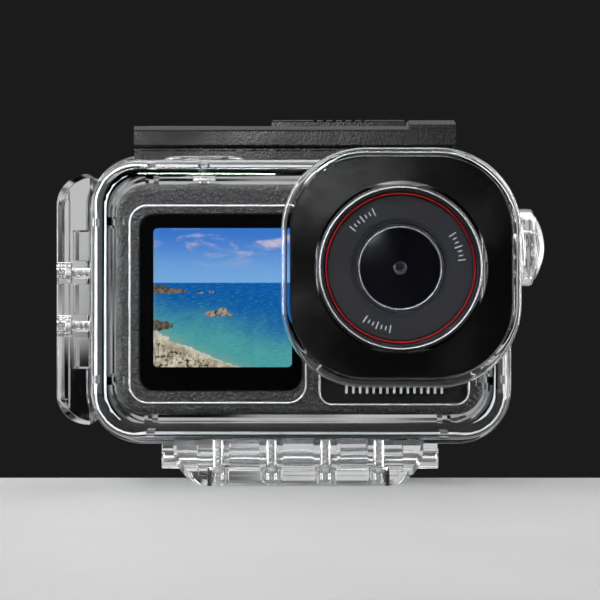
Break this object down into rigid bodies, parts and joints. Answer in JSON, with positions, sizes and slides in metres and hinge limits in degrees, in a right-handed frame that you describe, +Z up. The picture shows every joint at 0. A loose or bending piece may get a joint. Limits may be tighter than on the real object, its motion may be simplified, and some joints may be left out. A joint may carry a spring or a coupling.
{
  "type": "action camera in clear dive case",
  "caption": "Black action camera with a front screen and round lens, inside a clear waterproof case with a square lens port, top latch and quick-release bases.",
  "frame": {"origin": "centre of the flat seat under the bottom mounting base", "axes": "+Z up, front (lens side) towards -Y, +X to the right as seen from the front"},
  "size_m": [0.0937, 0.0409, 0.0712],
  "materials": {
    "clear_shell": "clear polished polycarbonate",
    "clear_button": "clear moulded plastic",
    "port_glass": "flat coated glass",
    "mask_black": "gloss black print",
    "latch_black": "fine textured",
    "steel": "stainless",
    "seal": "pale silicone",
    "o_ring": "black nitrile",
    "body_black": "leather-like grain",
    "trim_black": "gloss with polished edge",
    "screen_glass": "cover glass",
    "display": "lit panel",
    "lens_metal": "dark anodised, turned",
    "accent_red": "red anodised",
    "label_black": "satin black",
    "lens_glass": "coated optical glass",
    "board": "circuit board",
    "sensor": "silicon behind glass",
    "cell": "wrapped cell",
    "heat_metal": "sheet",
    "speaker_black": "moulded"
  },
  "bodies": {
    "case": {"front_shell": "clear_shell", "port_window": "port_glass", "port_mask": "mask_black", "hinge_pin": "steel", "bottom_base": "clear_shell", "bottom_base_screws": "steel", "side_base": "clear_shell", "side_base_screws": "steel", "shutter_o_ring": "o_ring", "shutter_spring": "steel", "mode_o_ring": "o_ring", "mode_spring": "steel", "camera_front_cover": "body_black", "camera_rear_cover": "body_black", "camera_screws": "steel", "screen_bezel": "trim_black", "front_screen_glass": "screen_glass", "front_display": "display", "badge_plate": "trim_black", "battery_door": "body_black", "battery_latch": "body_black", "usb_cover": "body_black", "main_board": "board", "battery": "cell", "sensor_board": "board", "image_sensor": "sensor", "heat_spreader": "heat_metal", "speaker": "speaker_black", "lens_housing": "body_black", "lens_barrel_ring": "lens_metal", "lens_accent_ring": "accent_red", "lens_label_ring": "label_black", "lens_cover_glass": "lens_glass", "lens_tube": "lens_metal", "lens_retainer": "lens_metal", "front_lens": "lens_glass", "inner_lens": "lens_glass", "rear_screen_glass": "screen_glass", "rear_display": "display"},
    "door": {"rear_door": "clear_shell", "door_gasket": "seal", "rear_pads": "seal", "latch_pin": "steel"},
    "latch": {"latch_lever": "latch_black"},
    "lock": {"lock_slider": "latch_black"},
    "shutter": {"shutter_plunger": "clear_button", "shutter_clip": "steel"},
    "mode": {"mode_plunger": "clear_button", "mode_clip": "steel"},
    "camera_shutter": {"camera_shutter_button": "body_black"},
    "camera_power": {"camera_power_button": "body_black"}
  },
  "joints": [
    {"name": "door_open", "type": "hinge", "parent": "case", "child": "door", "pos_m": [0, 0.0095, 0.0039], "axis": [-1, 0, 0], "range_deg": [0, 105]},
    {"name": "latch_lift", "type": "hinge", "parent": "door", "child": "latch", "pos_m": [0, 0.0136, 0.0677], "axis": [-1, 0, 0], "range_deg": [0, 90]},
    {"name": "lock_slide", "type": "slide", "parent": "latch", "child": "lock", "axis": [-1, 0, 0], "range_m": [0, 0.004]},
    {"name": "shutter_press", "type": "slide", "parent": "case", "child": "shutter", "axis": [0, 0, -1], "range_m": [0, 0.001], "stiffness_N_per_m": 600, "springref_m": -0.0006, "deforming": ["shutter_spring"]},
    {"name": "mode_press", "type": "slide", "parent": "case", "child": "mode", "axis": [-1, 0, 0], "range_m": [0, 0.001], "stiffness_N_per_m": 600, "springref_m": -0.0006, "deforming": ["mode_spring"]},
    {"name": "camera_shutter_press", "type": "slide", "parent": "case", "child": "camera_shutter", "axis": [0, 0, -1], "range_m": [0, 0.001], "stiffness_N_per_m": 600, "springref_m": -0.0006},
    {"name": "camera_power_press", "type": "slide", "parent": "case", "child": "camera_power", "axis": [-1, 0, 0], "range_m": [0, 0.001], "stiffness_N_per_m": 600, "springref_m": -0.0006}
  ],
  "couplings": [
    {"joint": "camera_shutter_press", "follows": "shutter_press", "ratio": 1},
    {"joint": "camera_power_press", "follows": "mode_press", "ratio": 1}
  ]
}
